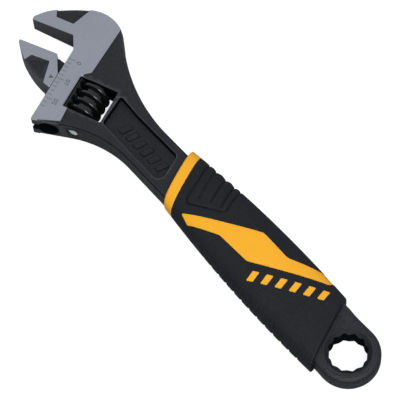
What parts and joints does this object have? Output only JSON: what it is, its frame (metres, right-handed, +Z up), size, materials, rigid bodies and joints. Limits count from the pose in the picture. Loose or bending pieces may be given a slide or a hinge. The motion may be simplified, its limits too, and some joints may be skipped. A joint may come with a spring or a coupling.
{
  "type": "adjustable wrench",
  "caption": "Adjustable wrench with a sliding jaw driven by a thumb worm, a twelve-point box end and a two-material cushioned grip",
  "frame": {"origin": "Under the middle of the whole wrench as it lies flat, at the level of the grip's underside", "axes": "+X runs along the handle from the box end to the head, +Z is up through the wrench's flat faces, and +Y is the side on which the movable jaw opens"},
  "size_m": [0.2098, 0.0544, 0.016],
  "materials": {
    "black_steel": "forged steel with a satin black oxide skin",
    "ground_steel": "fine ground and satin plated steel, with black oxide in the recesses",
    "zinc": "bright zinc plated steel",
    "yellow_plastic": "warm yellow moulded plastic with a fine satin grain",
    "black_rubber": "soft black moulded rubber with a fine matt grain"
  },
  "bodies": {
    "body": {"wrench_body": "black_steel", "worm_pin": "zinc", "worm_spring": "zinc", "grip_core": "yellow_plastic", "grip_cover": "black_rubber"},
    "jaw": {"movable_jaw": "ground_steel"},
    "thumb_worm": {"worm": "black_steel"}
  },
  "joints": [
    {"name": "jaw_slide", "type": "slide", "parent": "body", "child": "jaw", "axis": [-0.3827, 0.9239, 0], "range_m": [-0.0104, 0.0135]},
    {"name": "worm_spin", "type": "hinge", "parent": "body", "child": "thumb_worm", "pos_m": [0.05888, 0.00364, 0.008], "axis": [-0.3827, 0.9239, 0], "range_deg": [-1012, 1314]}
  ],
  "couplings": [
    {"joint": "worm_spin", "follows": "jaw_slide", "rad_per_m": 1698.2}
  ]
}
